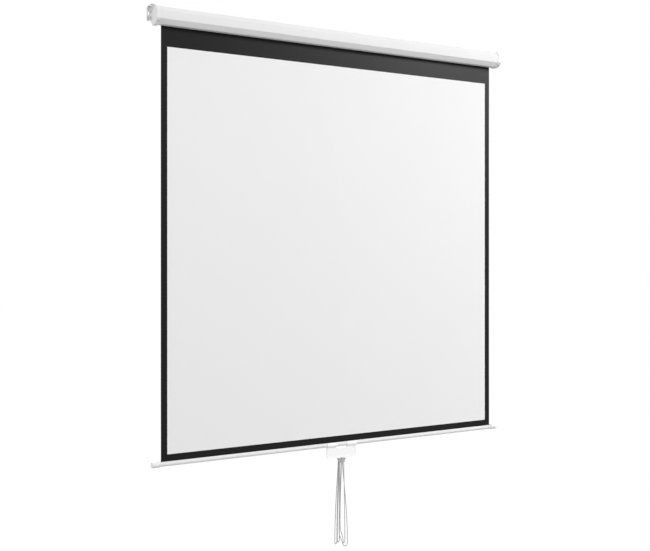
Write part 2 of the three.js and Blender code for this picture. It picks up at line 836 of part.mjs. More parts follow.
function makeClip(side) {
  const start = (handleWidth / 2 - clipWidth) * side;
  const end = (handleWidth / 2) * side;
  const reach = clipArmAngle * radians;
  const down = -Math.PI / 2;
  const section = [
    ...arcPoints(0, 0, clipOuter, down - reach, down + reach, coarseTurn),
    ...arcPoints(0, 0, clipInner, down + reach, down - reach, coarseTurn),
  ];
  return sweepX(section, Math.min(start, end), Math.max(start, end));
}

function handleOutline(inset) {
  const half = handleWidth / 2 - inset;
  const bottom = plateBottom + inset;
  const top = plateTop - inset;
  const corner = Math.max(handleCorner - inset, handleLeastCorner);
  const turn = (x, z, from) => arcPoints(x, z, corner, from, from + Math.PI / 2, cornerSteps);
  return [
    new THREE.Vector2(half, top), new THREE.Vector2(-half, top),
    ...turn(-half + corner, bottom + corner, Math.PI),
    ...turn(half - corner, bottom + corner, -Math.PI / 2),
  ];
}

function makePullHandle() {
  const web = sweepY(handleOutline(0), handleThickness);
  const thick = toSolid(sweepY(handleOutline(0), handleThickness + 2 * handleRimHeight));
  const rim = cutBy(thick, [sweepY(handleOutline(handleRim), 2 * handleThickness)]);
  const window = blockAt(
    [handleWidth - 2 * clipWidth, 2 * handleThickness, handleWindow + clipWall + clearance],
    [0, 0, plateTop - handleWindow / 2]);
  const plate = cutBy(toSolid(web).add(rim), [window]);
  const barRoom = rodX(clipInner, -handleWidth, handleWidth, fineTurn);
  return toGeometry(cutBy(joined(plate, [makeClip(-1), makeClip(1)]), [barRoom]));
}

// Knot, placed about the line where the cord hangs from the handle
function knotSide() {
  const roof = knotRoofAngle * radians;
  const shoulderY = knotRidgeRadius * Math.sin(roof);
  const shoulderZ = knotRidgeRadius * Math.cos(roof);
  const half = knotDepth / 2;
  const eaves = shoulderZ - (half - shoulderY) * Math.tan(roof);
  const ridge = arcPoints(0, 0, knotRidgeRadius, Math.PI / 2 - roof, Math.PI / 2 + roof, cornerSteps * 2);
  return [
    ...ridge, new THREE.Vector2(-half, eaves), new THREE.Vector2(-half, -knotHeight),
    new THREE.Vector2(half, -knotHeight), new THREE.Vector2(half, eaves),
  ];
}

function knotFront() {
  const top = knotTopWidth / 2;
  const bottom = knotBottomWidth / 2;
  const notch = knotNotchWidth / 2;
  const high = knotRidgeRadius;
  return [
    [top, high], [notch, high], [0, high - knotNotchDepth], [-notch, high], [-top, high],
    [-top, -knotShoulder], [-bottom, -knotHeight], [bottom, -knotHeight], [top, -knotShoulder],
  ].map(([x, z]) => new THREE.Vector2(x, z));
}

function makeKnot() {
  const side = toSolid(sweepX(knotSide(), -knotTopWidth, knotTopWidth));
  const body = side.intersect(toSolid(sweepY(knotFront(), 2 * knotDepth)));
  const cavity = blockAt(
    [knotBottomWidth - 2 * knotWall, knotDepth - 2 * knotWall, 2 * (knotHeight - knotCeiling)],
    [0, 0, -knotHeight]);
  return toGeometry(cutBy(body, [cavity]));
}

function loopEnd(loop, side) {
  const turn = loop.turn * radians;
  const reach = side * foldRadius;
  return [loop.x + reach * Math.cos(turn), loop.y + reach * Math.sin(turn)];
}

// A strand starts and ends upright, and drifts sideways in between. A haste under 1 brings the drift higher.
function strandPoints([x1, y1], z1, [x2, y2], z2, haste, steps) {
  const points = [];
  for (let i = 0; i <= steps; i += 1) {
    const share = i / steps;
    const eased = share ** haste;
    const drift = eased * eased * (3 - 2 * eased);
    points.push(new THREE.Vector3(
      x1 + (x2 - x1) * drift, y1 + (y2 - y1) * drift, z1 + (z2 - z1) * share));
  }
  return points;
}

function hangingStrand(neck, end, low) {
  return strandPoints(neck, -knotHeight, end, low, strandHaste, strandSteps);
}

function leftStrand(neck, end, low, sway) {
  if (!sway) return hangingStrand(neck, end, low);
  const bend = [sway.x, sway.y];
  return [
    ...hangingStrand(neck, bend, -sway.drop).slice(0, -1),
    ...strandPoints(bend, -sway.drop, end, low, 1, swaySteps),
  ];
}

// Half a turn from one strand to the next, whose middle is a radius above or below the strands' ends
function foldPoints([x1, y1], [x2, y2], z, rise) {
  const middle = new THREE.Vector3((x1 + x2) / 2, (y1 + y2) / 2, z);
  const spoke = new THREE.Vector3((x1 - x2) / 2, (y1 - y2) / 2, 0);
  const points = [];
  for (let i = 1; i < foldSteps; i += 1) {
    const angle = (Math.PI * i) / foldSteps;
    const point = middle.clone().addScaledVector(spoke, Math.cos(angle));
    point.z += rise * spoke.length() * Math.sin(angle);
    points.push(point);
  }
  return points;
}

function cordPath() {
  const ceiling = -knotCeiling - clearance;
  const [firstNeck, lastNeck] = [strandNecks[0], strandNecks[strandNecks.length - 1]];
  const points = [new THREE.Vector3(...firstNeck, ceiling)];
  cordLoops.forEach((loop, i) => {
    const [down, up, next] = strandNecks.slice(2 * i);
    const [left, right] = [loopEnd(loop, -1), loopEnd(loop, 1)];
    const low = foldRadius - loop.drop;
    points.push(...leftStrand(down, left, low, loop.sway));
    points.push(...foldPoints(left, right, low, -1));
    points.push(...hangingStrand(up, right, low).reverse());
    if (next) {
      const radius = Math.hypot(next[0] - up[0], next[1] - up[1]) / 2;
      points.push(...foldPoints(up, next, ceiling - cordRadius - radius, 1));
    }
  });
  points.push(new THREE.Vector3(...lastNeck, ceiling));
  return points;
}

// Least gap between stretches of one tube that are a full girth or more apart along it
function selfGap(path, radius) {
  const step = radius / 2;
  const fine = [];
  for (let i = 0; i + 1 < path.length; i += 1) {
    const count = Math.ceil(path[i].distanceTo(path[i + 1]) / step);
    for (let k = 0; k < count; k += 1) fine.push(path[i].clone().lerp(path[i + 1], k / count));
  }
  const apart = Math.ceil((Math.PI * 2 * radius) / step);
  let least = Infinity;
  for (let i = 0; i < fine.length; i += 1) {
    for (let j = i + apart; j < fine.length; j += 1) {
      const gap = fine[i].distanceToSquared(fine[j]);
      if (gap < least) least = gap;
    }
  }
  return Math.sqrt(least) - 2 * radius;
}

console.log(`least gap of the cord to itself: ${selfGap(cordPath(), cordRadius).toFixed(2)} mm`);
console.log(`least gap of the spring to itself: ${selfGap(springPath(), wireRadius).toFixed(2)} mm`);

// The assembly
const screen = new THREE.Group();

const caseGroup = new THREE.Group();
caseGroup.position.set(0, caseY, caseZ);
caseGroup.add(makeMesh("case_shell", makeCaseShell(), "whitePaint"));
caseGroup.add(makeMesh("end_cap_left", mirroredX(makeRatchetCap()), "whitePlastic"));
caseGroup.add(makeMesh("end_cap_right", makeIdlerCap(), "whitePlastic"));
[["left", mirroredX], ["right", (geometry) => geometry]].forEach(([side, placed]) => {
  caseGroup.add(makeMesh(`cap_screw_${side}_front`, placed(capScrew(frontFacet)), "zinc"));
  caseGroup.add(makeMesh(`cap_screw_${side}_rear`, placed(capScrew(rearFacet)), "zinc"));
  caseGroup.add(makeMesh(`bracket_screw_${side}_upper`, placed(bracketScrew(bracketScrews[0])), "zinc"));
  caseGroup.add(makeMesh(`bracket_screw_${side}_lower`, placed(bracketScrew(bracketScrews[1])), "zinc"));
  screen.add(makeMesh(`hanger_bracket_${side}`, placed(makeBracket()), "zinc"));
});
screen.add(caseGroup);

const rollerGroup = new THREE.Group();
rollerGroup.position.set(0, rollerY, caseZ);
rollerGroup.add(makeMesh("roller_tube", makeRollerTube(), "aluminium"));
rollerGroup.add(makeMesh("fabric_roll", makeFabricRoll(), "blackFabric"));
rollerGroup.add(makeMesh("idler_plug", makeIdlerPlug(), "nylon"));
rollerGroup.add(makeMesh("idler_pin", makeIdlerPin(), "steel"));
rollerGroup.add(makeMesh("idler_bush", makeIdlerBush(), "nylon"));
rollerGroup.add(makeMesh("ratchet_plug", mirroredX(makeRatchetPlug()), "nylon"));
rollerGroup.add(makeMesh("ratchet_wheel", mirroredX(makeRatchetWheel()), "steel"));
rollerGroup.add(makeMesh("spring_shaft", mirroredX(makeSpringShaft()), "steel"));
rollerGroup.add(makeMesh("shaft_socket", mirroredX(makeShaftSocket()), "steel"));
rollerGroup.add(makeMesh("spring_anchor", mirroredX(makeSpringAnchor()), "nylon"));
rollerGroup.add(makeMesh("lift_spring", mirroredX(makeLiftSpring()), "springSteel"));
Object.entries(pawlPlaces).forEach(([place, { z, turn }]) => {
  const pivot = new THREE.Group();
  pivot.position.z = z;
  pivot.add(makeMesh(`pawl_pin_${place}`, mirroredX(makePawlPin()), "steel"));
  const pawl = makeMesh(`pawl_${place}`, mirroredX(makePawl()), "steel");
  pawl.rotation.x = turn * radians;
  pivot.add(pawl);
  rollerGroup.add(pivot);
});
screen.add(rollerGroup);

const sheetGroup = new THREE.Group();
sheetGroup.position.set(0, sheetY, 0);
sheetGroup.add(makeMesh("screen_fabric", makeScreenFabric(), "blackFabric"));
sheetGroup.add(makeMesh("viewing_surface", makeViewingSurface(), "whiteFabric"));
screen.add(sheetGroup);

const barGroup = new THREE.Group();
barGroup.position.set(0, sheetY, barZ);
barGroup.add(makeMesh("bottom_bar", makeBottomBar(), "whitePaint"));
barGroup.add(makeMesh("bar_cap_left", mirroredX(makeBarCap()), "whitePlastic"));
barGroup.add(makeMesh("bar_cap_right", makeBarCap(), "whitePlastic"));
barGroup.add(makeMesh("pull_handle", makePullHandle(), "whitePlastic"));
const hemRod = makeMesh("hem_rod", makeHemRod(), "nylon");
hemRod.position.z = hemRise;
barGroup.add(hemRod);
screen.add(barGroup);

const cordGroup = new THREE.Group();
cordGroup.position.set(0, sheetY, cordPivotZ);
cordGroup.add(makeMesh("cord_knot", makeKnot(), "cordYarn"));
cordGroup.add(makeMesh("pull_cord", tubeAlong(cordPath(), cordRadius, cordSides), "cordYarn"));
screen.add(cordGroup);

export default screen;
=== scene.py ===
import json
import math

import bmesh
import bpy
import numpy as np
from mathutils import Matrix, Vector


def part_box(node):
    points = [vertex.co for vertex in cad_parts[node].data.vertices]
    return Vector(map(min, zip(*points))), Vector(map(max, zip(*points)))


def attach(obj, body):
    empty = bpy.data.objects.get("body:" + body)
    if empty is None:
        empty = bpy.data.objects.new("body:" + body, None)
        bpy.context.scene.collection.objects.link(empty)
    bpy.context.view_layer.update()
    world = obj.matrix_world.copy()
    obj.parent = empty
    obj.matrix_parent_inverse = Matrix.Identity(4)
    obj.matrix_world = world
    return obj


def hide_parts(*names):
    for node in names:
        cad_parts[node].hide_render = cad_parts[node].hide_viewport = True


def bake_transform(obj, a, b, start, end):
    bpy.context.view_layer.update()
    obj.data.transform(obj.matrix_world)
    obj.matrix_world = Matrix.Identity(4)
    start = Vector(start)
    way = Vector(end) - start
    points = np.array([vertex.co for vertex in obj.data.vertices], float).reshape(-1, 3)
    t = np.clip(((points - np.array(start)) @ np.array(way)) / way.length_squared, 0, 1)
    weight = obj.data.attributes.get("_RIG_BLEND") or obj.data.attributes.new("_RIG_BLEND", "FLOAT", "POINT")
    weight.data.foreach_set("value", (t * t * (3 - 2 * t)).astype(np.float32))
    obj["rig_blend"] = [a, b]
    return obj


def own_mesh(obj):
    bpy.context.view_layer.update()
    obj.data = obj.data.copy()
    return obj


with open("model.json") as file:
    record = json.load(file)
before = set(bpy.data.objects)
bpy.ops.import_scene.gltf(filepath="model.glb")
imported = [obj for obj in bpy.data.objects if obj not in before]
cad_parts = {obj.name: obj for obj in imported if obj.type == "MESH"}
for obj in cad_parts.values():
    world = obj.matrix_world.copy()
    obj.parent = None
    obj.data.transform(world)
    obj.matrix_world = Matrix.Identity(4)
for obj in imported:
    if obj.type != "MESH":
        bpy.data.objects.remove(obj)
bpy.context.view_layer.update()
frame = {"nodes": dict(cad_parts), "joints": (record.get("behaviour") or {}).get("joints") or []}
scene = bpy.context.scene
scene.view_settings.view_transform = "Standard"
mm = 0.001


# Camera

photoView = {
    "place": (-1.980, -3.273, -0.865),
    "heading": (0.5062, 0.8624, 0.0),
    "focalPixels": 964.3,
    "horizonRow": 257.0,
    "imagePixels": (650, 551),
    "sensorWidth": 36.0,  # millimetres
}


def setCamera(view):
    width, height = view["imagePixels"]
    lens = bpy.data.cameras.new("photoCamera")
    lens.sensor_fit = "HORIZONTAL"
    lens.sensor_width = view["sensorWidth"]
    lens.lens = view["focalPixels"] * view["sensorWidth"] / width
    lens.shift_y = (view["horizonRow"] - height / 2) / width
    camera = bpy.data.objects.new("photoCamera", lens)
    camera.location = view["place"]
    camera.rotation_euler = Vector(view["heading"]).to_track_quat("-Z", "Y").to_euler()
    scene.collection.objects.link(camera)
    scene.camera = camera


setCamera(photoView)
print("camera set")


# Mesh helpers

edgeAngle = 34  # degrees between two faces above which their edge looks sharp
bendAngle = 60  # the same for cord and cloth


def linkMesh(name, vertices, faces, sharpAngle=edgeAngle):
    mesh = bpy.data.meshes.new(name)
    mesh.from_pydata([tuple(v) for v in vertices], [], [tuple(f) for f in faces])
    shape = bmesh.new()
    shape.from_mesh(mesh)
    bmesh.ops.recalc_face_normals(shape, faces=shape.faces)
    shape.to_mesh(mesh)
    shape.free()
    return linkPiece(name, mesh, sharpAngle)


def linkPiece(name, mesh, sharpAngle=edgeAngle):
    mesh.shade_smooth()
    mesh.set_sharp_from_angle(angle=math.radians(sharpAngle))
    piece = bpy.data.objects.new(name, mesh)
    scene.collection.objects.link(piece)
    return piece


def dress(piece, body, material, slot, *nodes):
    piece.data.materials.append(material)
    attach(piece, body)
    if nodes:
        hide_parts(*nodes)
    return piece


# Closed rings with equal point counts, joined in order, with a flat face at each end
def loft(rings):
    count = len(rings[0])
    vertices = [point for ring in rings for point in ring]
    faces = []
    for ring in range(len(rings) - 1):
        for i in range(count):
            a, b = ring * count + i, ring * count + (i + 1) % count
            faces.append((a, b, b + count, a + count))
    faces.append(tuple(range(count)))
    faces.append(tuple(range(len(vertices) - count, len(vertices))))
    return vertices, faces


# A profile of (radius, x) pairs turned about an axis along X through a centre in (y, z)
def turned(profile, centre, segments=64):
    angles = np.linspace(0, 2 * math.pi, segments, endpoint=False)
    rings = []
    for radius, x in profile:
        rings.append([(x, centre[0] + radius * math.cos(a), centre[1] + radius * math.sin(a))
                      for a in angles])
    return loft(rings)


def arc(centre, radius, first, last, steps):
    angles = np.radians(np.linspace(first, last, steps + 1))
    return [(centre[0] + radius * math.cos(a), centre[1] + radius * math.sin(a)) for a in angles]


# An open path in (y, z) whose inner corners are bent to a radius: corners are (y, z, radius)
def bentPath(corners, steps=8):
    path = [corners[0][:2]]
    for before, corner, after in zip(corners, corners[1:], corners[2:]):
        here = Vector(corner[:2])
        inward = (here - Vector(before[:2])).normalized()
        outward = (Vector(after[:2]) - here).normalized()
        turn = math.acos(max(-1, min(1, inward.dot(outward))))
        side = 1 if inward.cross(outward) > 0 else -1
        start = here - inward * corner[2] * math.tan(turn / 2)
        middle = start + side * corner[2] * Vector((-inward.y, inward.x))
        first = math.atan2(start.y - middle.y, start.x - middle.x)
        for step in range(steps + 1):
            angle = first + side * turn * step / steps
            path.append((middle.x + corner[2] * math.cos(angle), middle.y + corner[2] * math.sin(angle)))
    path.append(corners[-1][:2])
    return path


# The closed outline of a strip of sheet metal that follows an open path
def stripOutline(path, thickness):
    points = np.array(path)
    along = np.gradient(points, axis=0)
    along /= np.linalg.norm(along, axis=1)[:, None]
    normals = np.stack([-along[:, 1], along[:, 0]], axis=1) * thickness / 2
    return np.concatenate([points + normals, (points - normals)[::-1]])


def sweepX(outline, xs):
    return loft([[(x, y, z) for y, z in outline] for x in xs])


# A round tube along a line of points, with the distance along and the share round in its UV map
def tube(name, points, radius, sides=12):
    points = np.array([tuple(p) for p in points])
    steps = np.linalg.norm(np.diff(points, axis=0), axis=1)
    distance = np.concatenate([[0], np.cumsum(steps)])
    along = np.gradient(points, axis=0)
    along /= np.linalg.norm(along, axis=1)[:, None]
    across = np.cross(along[0], (0.3, 0.9, 0.2))  # any direction that no line starts in
    vertices = []
    for point, direction in zip(points, along):
        across = across - direction * across.dot(direction)
        across /= np.linalg.norm(across)
        other = np.cross(direction, across)
        for side in range(sides):
            angle = 2 * math.pi * side / sides
            vertices.append(point + radius * (across * math.cos(angle) + other * math.sin(angle)))
    rings = len(points)
    faces = [tuple(range(sides)), tuple(range((rings - 1) * sides, rings * sides))]
    for ring in range(rings - 1):
        for side in range(sides):
            a, b = ring * sides + side, ring * sides + (side + 1) % sides
            faces.append((a, b, b + sides, a + sides))
    piece = linkMesh(name, vertices, faces, bendAngle)
    girth = 2 * math.pi * radius
    layer = piece.data.uv_layers.new(name="cordUv")
    for face in piece.data.polygons:
        used = [v % sides for v in face.vertices]
        seam = 0 in used and sides - 1 in used
        for loop in face.loop_indices:
            vertex = piece.data.loops[loop].vertex_index
            share = (vertex % sides) / sides
            if seam and vertex % sides == 0:
                share = 1.0
            layer.data[loop].uv = (distance[vertex // sides] / girth, share)
    return piece


# Points at an even spacing along a line, with its corners eased
def evened(points, step, easing=3):
    points = np.array([tuple(p) for p in points])
    distance = np.concatenate([[0], np.cumsum(np.linalg.norm(np.diff(points, axis=0), axis=1))])
    places = np.linspace(0, distance[-1], int(distance[-1] / step) + 1)
    line = np.stack([np.interp(places, distance, points[:, axis]) for axis in range(3)], axis=1)
    for _ in range(easing):
        line[1:-1] = (line[:-2] + 2 * line[1:-1] + line[2:]) / 4
    return [Vector(point) for point in line]


# A smooth line through a few points
def smoothLine(points, steps=8):
    points = [Vector(p) for p in points]
    ends = [2 * points[0] - points[1], *points, 2 * points[-1] - points[-2]]
    line = []
    for a, b, c, d in zip(ends, ends[1:], ends[2:], ends[3:]):
        for step in range(steps):
            t = step / steps
            line.append(0.5 * (2 * b + (c - a) * t + (2 * a - 5 * b + 4 * c - d) * t * t
                               + (3 * b - a - 3 * c + d) * t ** 3))
    line.append(points[-1])
    return line


# A copy of a CAD node with its flat faces joined and its edges rounded
def softened(node, name, edge):
    shape = bmesh.new()
    shape.from_mesh(frame["nodes"][node].data)
    bmesh.ops.remove_doubles(shape, verts=shape.verts, dist=1e-6)
    bmesh.ops.dissolve_limit(shape, angle_limit=math.radians(1), verts=shape.verts, edges=shape.edges)
    mesh = bpy.data.meshes.new(name)
    shape.to_mesh(mesh)
    shape.free()
    for attribute in [a for a in mesh.attributes if a.name == "custom_normal"]:
        mesh.attributes.remove(attribute)
    piece = linkPiece(name, mesh)
    bevel = piece.modifiers.new("roundedEdges", "BEVEL")
    bevel.width = edge
    bevel.segments = 3
    bevel.limit_method = "ANGLE"
    bevel.angle_limit = math.radians(edgeAngle)
    flatFaces = piece.modifiers.new("flatFaces", "WEIGHTED_NORMAL")  # the big faces shade flat
    flatFaces.weight = 100
    flatFaces.keep_sharp = False
    rounded = bpy.data.meshes.new_from_object(piece.evaluated_get(bpy.context.evaluated_depsgraph_get()))
    piece.modifiers.clear()
    piece.data = rounded
    return piece


# Shader helpers

class Wire:
    def __init__(self, board, socket):
        self.board = board
        self.socket = socket

    def __add__(self, other):
        return self.board.sums("ADD", self, other)

    def __sub__(self, other):
        return self.board.sums("SUBTRACT", self, other)

    def __rsub__(self, other):
        return self.board.sums("SUBTRACT", other, self)

    def __mul__(self, other):
        return self.board.sums("MULTIPLY", self, other)

    __radd__ = __add__
    __rmul__ = __mul__


class Board:
    def __init__(self, tree):
        self.tree = tree
        tree.nodes.clear()

    def add(self, kind, settings=None, values=None, output=0):
        node = self.tree.nodes.new("ShaderNode" + kind)
        for setting, value in (settings or {}).items():
            setattr(node, setting, value)
        for socket, value in (values or {}).items():
            if isinstance(value, Wire):
                self.tree.links.new(value.socket, node.inputs[socket])
            else:
                node.inputs[socket].default_value = value
        return Wire(self, node.outputs[output]) if node.outputs else None

    def sums(self, operation, first, second=0.0):
        return self.add("Math", {"operation": operation}, {0: first, 1: second})

    def place(self):
        return self.add("TexCoord", output="Object")

    def stretch(self, vector, scale):
        return self.add("VectorMath", {"operation": "MULTIPLY"}, {0: vector, 1: scale})

    def part(self, vector, axis):
        return self.add("SeparateXYZ", {}, {0: vector}, axis)

    # A grain has a scale, or a stretch with one scale for each axis
    def noise(self, vector, grain):
        if "stretch" in grain:
            vector = self.stretch(vector, grain["stretch"])
        values = {
            "Vector": vector,
            "Scale": grain.get("scale", 1.0),
            "Detail": grain.get("detail", 2.0),
            "Roughness": grain.get("rough", 0.5),
        }
        return self.add("TexNoise", {}, values, "Fac")

    def mix(self, share, first, second):
        values = {0: share, 6: first, 7: second}  # the factor and the two colours
        return self.add("Mix", {"data_type": "RGBA"}, values, 2)

    def blended(self, share, first, second):
        return first * (1 - share) + second * share

    # A value that each of the noises moves up and down by half of its grain's spread
    def uneven(self, value, *noises):
        for noise, grain in noises:
            value = value + (noise - 0.5) * grain["spread"]
        return value

    def bump(self, height, grain, normal=None):
        values = {"Height": height, "Distance": grain["height"], "Strength": grain["strength"]}
        if normal:
            values["Normal"] = normal
        return self.add("Bump", {}, values)

    def surface(self, values):
        shader = self.add("BsdfPrincipled", {}, values)
        self.add("OutputMaterial", {}, {"Surface": shader})


def newMaterial(name):
    material = bpy.data.materials.new(name)
    material.use_nodes = True
    return material, Board(material.node_tree)


def grey(value, tint=(1.0, 1.0, 1.0)):
    return (value * tint[0], value * tint[1], value * tint[2], 1.0)


# Materials: a pattern's spread is how far it moves the roughness, its share is its part in a blend,
# and its height and strength are those of its bump

whitePaint = {
    "pale": grey(0.89, (0.995, 0.998, 1.0)),
    "dull": grey(0.86, (1.0, 0.998, 0.99)),
    "roughness": 0.5,
    "specular": 0.15,
    "patches": {"scale": 6.0, "detail": 4.0, "spread": 0.12},
    "peel": {"scale": 700.0, "spread": 0.05, "height": 0.02 * mm, "strength": 0.6},
    "lines": {  # faint, from the rolling mill, along X
        "stretch": (3.0, 260.0, 260.0), "share": 0.3, "height": 0.01 * mm, "strength": 0.5,
    },
}


def makeWhitePaint(look):
    material, board = newMaterial("whitePaint")
    place = board.place()
    patches = board.noise(place, look["patches"])
    lines = board.noise(place, look["lines"])
    peel = board.noise(place, look["peel"])
    board.surface({
        "Base Color": board.mix(board.blended(look["lines"]["share"], patches, lines),
                                look["pale"], look["dull"]),
        "Roughness": board.uneven(look["roughness"], (patches, look["patches"]), (peel, look["peel"])),
        "Normal": board.bump(lines, look["lines"], board.bump(peel, look["peel"])),
        "Specular IOR Level": look["specular"],
    })
    return material


whitePlastic = {
    "pale": grey(0.90, (1.0, 0.999, 0.99)),
    "dull": grey(0.87, (1.0, 0.995, 0.98)),
    "roughness": 0.42,
    "sinks": {"scale": 55.0, "height": 0.12 * mm, "strength": 0.35},
    "spark": {
        "scale": 2600.0, "detail": 3.0, "rough": 0.6, "spread": 0.18, "height": 0.03 * mm, "strength": 0.7,
    },
    "depth": 0.4 * mm,  # how far light goes in
    "depthShare": 0.04,
    "coat": 0.0,
    "coatRoughness": 0.25,
}
# painted light: the handle's copy of the white plastic is made paler than the caps' so that it looks more
# brightly lit
paintedLitHandle = {**whitePlastic, "pale": grey(0.98), "dull": grey(0.97), "coat": 0.25}
nylon = {
    **whitePlastic,
    "pale": grey(0.78, (1.0, 0.985, 0.94)),
    "dull": grey(0.70, (1.0, 0.97, 0.90)),
    "roughness": 0.5,
    "sinks": {**whitePlastic["sinks"], "scale": 80.0},
    "spark": {**whitePlastic["spark"], "scale": 1800.0},
}


def makeWhitePlastic(name, look):
    material, board = newMaterial(name)
    place = board.place()
    sinks = board.noise(place, look["sinks"])
    spark = board.noise(place, look["spark"])
    board.surface({
        "Base Color": board.mix(sinks, look["pale"], look["dull"]),
        "Roughness": board.uneven(look["roughness"], (spark, look["spark"])),
        "Normal": board.bump(sinks, look["sinks"], board.bump(spark, look["spark"])),
        "Subsurface Weight": look["depthShare"],
        "Subsurface Radius": (look["depth"],) * 3,
        "Coat Weight": look["coat"],
        "Coat Roughness": look["coatRoughness"],
    })
    return material


zincPlate = {
    "pale": grey(0.80, (0.99, 0.995, 1.0)),
    "dark": grey(0.57, (0.99, 0.995, 1.0)),
    "roughness": 0.42,
    "metallic": 0.8,
    "bloom": {"scale": 40.0, "share": 0.45},
    "spangles": {"scale": 95.0, "spread": 0.2, "height": 0.02 * mm, "strength": 0.3},
    "scratches": {"stretch": (900.0, 60.0, 900.0), "spread": 0.1, "height": 0.02 * mm, "strength": 0.4},
}
screwFinish = {
    **zincPlate,
    "pale": grey(0.55),
    "dark": grey(0.35),
    "roughness": 0.3,
    "spangles": {**zincPlate["spangles"], "scale": 400.0},
}


def makeZinc(name, look):
    material, board = newMaterial(name)
    place = board.place()
    bloom = board.noise(place, look["bloom"])
    values = {"Vector": place, "Scale": look["spangles"]["scale"]}
    cells = board.add("TexVoronoi", {"feature": "F1"}, values, "Color")
    spangles = board.part(cells, "X")
    scratches = board.noise(place, look["scratches"])
    tone = board.blended(look["bloom"]["share"], spangles, bloom)
    board.surface({
        "Base Color": board.mix(tone, look["dark"], look["pale"]),
        "Metallic": look["metallic"],
        "Roughness": board.uneven(look["roughness"], (spangles, look["spangles"]),
                                  (scratches, look["scratches"])),
        "Normal": board.bump(scratches, look["scratches"], board.bump(spangles, look["spangles"])),
    })
    return material


turnedSteel = {
    "pale": grey(0.56, (0.98, 0.99, 1.0)),
    "dark": grey(0.38, (1.0, 0.98, 0.95)),
    "roughness": 0.28,
    "stains": {"scale": 30.0, "detail": 4.0, "rough": 0.6, "spread": 0.25},
    "grooves": {
        "stretch": (1500.0, 30.0, 30.0), "detail": 3.0, "share": 0.4,
        "spread": 0.1, "height": 0.02 * mm, "strength": 0.5,
    },
}
springSteel = {
    **turnedSteel,
    "pale": grey(0.30, (0.95, 0.98, 1.0)),
    "dark": grey(0.16, (1.0, 0.93, 0.85)),
    "roughness": 0.34,
    "grooves": {**turnedSteel["grooves"], "stretch": (80.0, 80.0, 80.0)},
}
millAluminium = {
    **turnedSteel,
    "pale": grey(0.74, (0.99, 0.995, 1.0)),
    "dark": grey(0.62, (0.99, 0.995, 1.0)),
    "roughness": 0.3,
    "grooves": {**turnedSteel["grooves"], "stretch": (4.0, 900.0, 900.0)},  # drawn along X
}


def makeBareMetal(name, look):
    material, board = newMaterial(name)
    place = board.place()
    grooves = board.noise(place, look["grooves"])
    stains = board.noise(place, look["stains"])
    tone = board.blended(look["grooves"]["share"], stains, grooves)
    board.surface({
        "Base Color": board.mix(tone, look["dark"], look["pale"]),
        "Metallic": 1.0,
        "Roughness": board.uneven(look["roughness"], (stains, look["stains"]), (grooves, look["grooves"])),
        "Normal": board.bump(grooves, look["grooves"]),
    })
    return material


viewingCloth = {
    "pale": grey(0.927, (0.998, 1.0, 1.0)),
    "dull": grey(0.907, (1.0, 1.0, 0.996)),
    "roughness": 0.7,
    "specular": 0.5,
    "threads": {"pitch": 0.9 * mm, "share": 0.2, "height": 0.02 * mm, "strength": 0.5},
    "grain": {"scale": 1600.0, "share": 0.3, "spread": 0.06},
    "clouds": {"scale": 2.2, "detail": 5.0, "rough": 0.55, "spread": 0.12},
}
blackCloth = {
    **viewingCloth,
    "pale": grey(0.005, (1.0, 1.0, 1.04)),
    "dull": grey(0.003, (1.0, 1.0, 1.04)),
    "roughness": 0.39,
    "specular": 0.17,
    "threads": {**viewingCloth["threads"], "height": 0.05 * mm},
}


# Coated glass-fibre cloth: the threads show through the coating as a fine grid
def makeCloth(name, look):
    material, board = newMaterial(name)
    place = board.place()
    turn = 2 * math.pi / look["threads"]["pitch"]
    across = board.sums("SINE", board.part(place, "X") * turn)
    down = board.sums("SINE", board.part(place, "Z") * turn)
    threads = across * down * 0.5 + 0.5  # from 0 to 1
    grain = board.noise(place, look["grain"])
    clouds = board.noise(place, look["clouds"])
    board.surface({
        "Base Color": board.mix(board.blended(look["threads"]["share"], clouds, threads),
                                look["pale"], look["dull"]),
        "Roughness": board.uneven(look["roughness"], (clouds, look["clouds"]), (grain, look["grain"])),
        "Normal": board.bump(board.blended(look["grain"]["share"], threads, grain), look["threads"]),
        "Specular IOR Level": look["specular"],
    })
    return material


cordYarn = {
    "pale": grey(0.63),
    # painted shade: the colour in the grooves between the strands
    "groove": grey(0.32, (1.0, 0.99, 0.97)),
    "roughness": 0.85,
    "sheen": 0.15,
    "carriers": 4,
    "plaitPerGirth": 1.1,
    "plait": {"power": 2.0, "height": 0.22 * mm, "strength": 0.8},
    "fuzz": {"scale": 3200.0, "share": 0.2},
}


# Plaited cord: two families of strands wind round it in opposite ways, and the grooves between them are
# painted darker as painted shade
def makeCordYarn(look):
    material, board = newMaterial("cordYarn")
    uv = board.add("TexCoord", output="UV")
    family = look["carriers"] / 2
    along = board.part(uv, "X") * (2 * math.pi * look["plaitPerGirth"])
    around = board.part(uv, "Y") * (2 * math.pi * family)
    left = board.sums("ABSOLUTE", board.sums("COSINE", around + along * family))
    right = board.sums("ABSOLUTE", board.sums("COSINE", around - along * family))
    plait = board.sums("MAXIMUM", left, right)
    fuzz = board.noise(board.place(), look["fuzz"])
    height = board.blended(look["fuzz"]["share"], plait, fuzz)
    # the pale colour falls off towards the grooves: painted shade
    tone = board.sums("POWER", plait, look["plait"]["power"])
    board.surface({
        "Base Color": board.mix(tone, look["groove"], look["pale"]),
        "Roughness": look["roughness"],
        "Normal": board.bump(height, look["plait"]),
        "Sheen Weight": look["sheen"],
    })
    return material


paint = makeWhitePaint(whitePaint)
capPlastic = makeWhitePlastic("capPlastic", whitePlastic)
